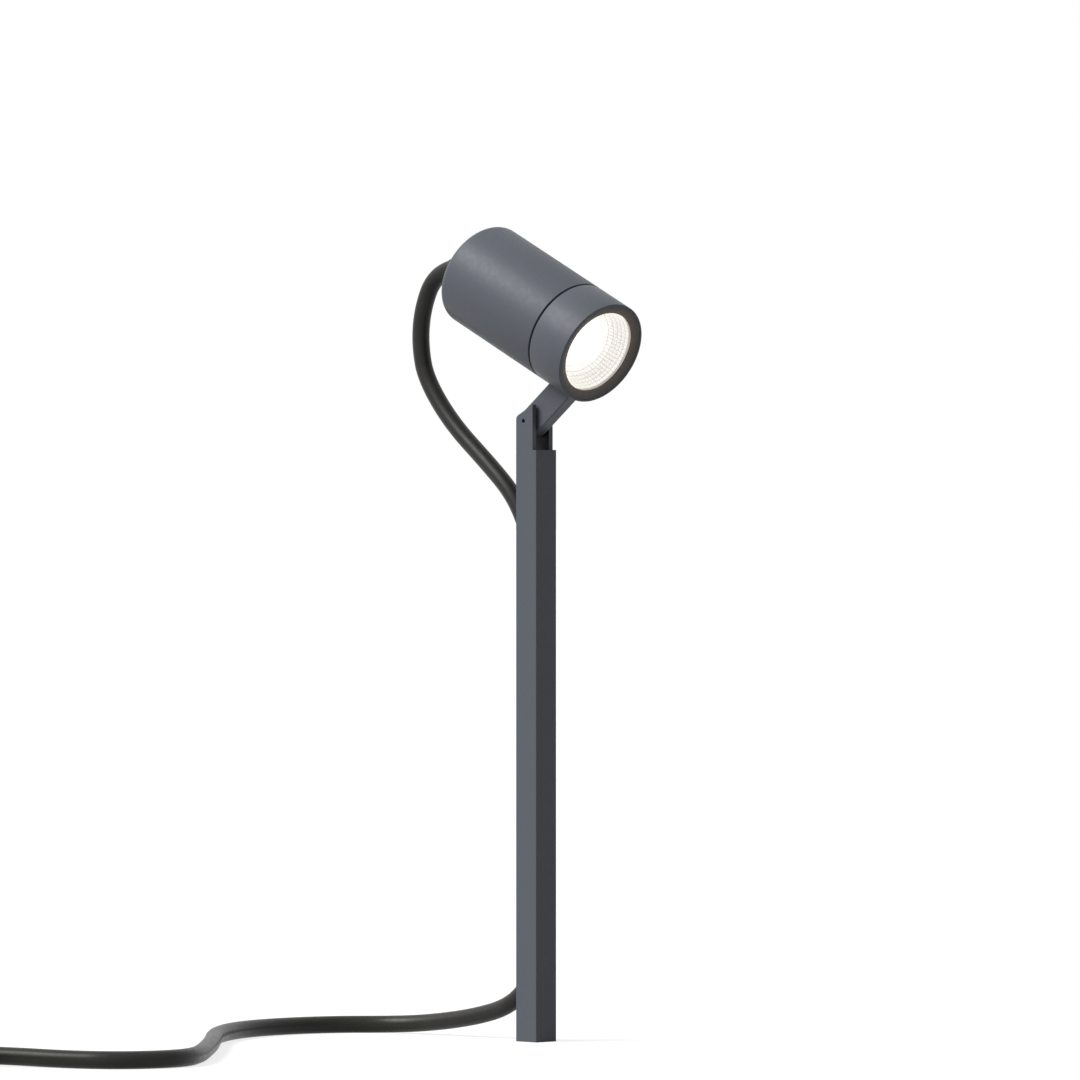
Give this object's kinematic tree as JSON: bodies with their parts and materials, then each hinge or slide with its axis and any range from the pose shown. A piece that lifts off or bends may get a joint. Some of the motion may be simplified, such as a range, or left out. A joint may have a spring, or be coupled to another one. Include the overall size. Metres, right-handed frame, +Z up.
{
  "type": "garden spike spotlight",
  "caption": "Outdoor LED spotlight with a tubular head that tilts on a square post, a ground spike and a mains cable that ends in a plug.",
  "frame": {"origin": "on the post's axis at ground level, where the spike's collar meets the post's foot", "axes": "+Z up along the post, -Y the side the beam points to, +X along the tilt axis; the cable runs off towards +Y and then -X"},
  "size_m": [0.6329, 0.2137, 0.6292],
  "materials": {
    "body_paint": "fine matt powder coat, dark grey",
    "bezel_paint": "matt black, inside the rim",
    "front_glass": "clear tempered, polished",
    "reflector_metal": "bright vapour-metallised facets",
    "seal_rubber": "matt silicone",
    "holder_plastic": "moulded white",
    "thermal_gel": "soft grey pad",
    "board_white": "white solder mask on aluminium",
    "emitter_phosphor": "yellow phosphor under silicone",
    "sink_aluminium": "die-cast, plain",
    "case_plastic": "moulded off-white",
    "circuit_green": "green solder mask",
    "component_black": "moulded and sleeved components",
    "terminal_plastic": "moulded white",
    "wire_brown": "extruded wire insulation",
    "wire_red": "extruded wire insulation",
    "gland_nickel": "nickel-plated, machined",
    "steel": "stainless, machined",
    "washer_nylon": "black nylon",
    "spike_plastic": "black glass-filled moulding",
    "clip_plastic": "black moulding",
    "cable_rubber": "matt rubber sheath",
    "tie_plastic": "black twist tie",
    "plug_rubber": "moulded solid rubber",
    "insert_plastic": "black moulding",
    "pin_nickel": "nickel-plated brass",
    "earth_spring": "plated spring brass"
  },
  "bodies": {
    "stand": {"post": "body_paint", "pivot_pin": "body_paint", "friction_washers": "washer_nylon", "ground_spike": "spike_plastic", "spike_screw": "steel", "channel_clips": "clip_plastic", "cable_in_post": "cable_rubber", "cable_loop": "cable_rubber", "ground_cable": "cable_rubber", "cable_coil": "cable_rubber", "coil_tie": "tie_plastic", "plug_lead": "cable_rubber", "plug_bend_protector": "plug_rubber", "plug_body": "plug_rubber", "plug_insert": "insert_plastic", "plug_pins": "pin_nickel", "plug_earth_clips": "earth_spring"},
    "head": {"front_housing": "body_paint", "arm": "body_paint", "arm_screws": "steel", "bezel_ring": "bezel_paint", "front_glass": "front_glass", "glass_gasket": "seal_rubber", "housing_seal": "seal_rubber", "reflector": "reflector_metal", "led_holder": "holder_plastic", "thermal_pad": "thermal_gel", "led_board": "board_white", "led_emitter": "emitter_phosphor", "holder_screws": "steel", "heat_sink": "sink_aluminium", "rear_housing": "body_paint", "driver_case": "case_plastic", "driver_board": "circuit_green", "driver_components": "component_black", "driver_lid": "case_plastic", "terminal_block": "terminal_plastic", "mains_wires": "wire_brown", "led_wires": "wire_red", "gland_body": "gland_nickel", "gland_locknut": "gland_nickel", "gland_seal": "seal_rubber", "cable_inner_end": "cable_rubber", "strain_relief": "seal_rubber"}
  },
  "joints": [
    {"name": "head_tilt", "type": "hinge", "parent": "stand", "child": "head", "pos_m": [0, 0.0023, 0.3481], "axis": [1, 0, 0], "range_deg": [-65, 60], "deforming": ["cable_loop"]}
  ]
}
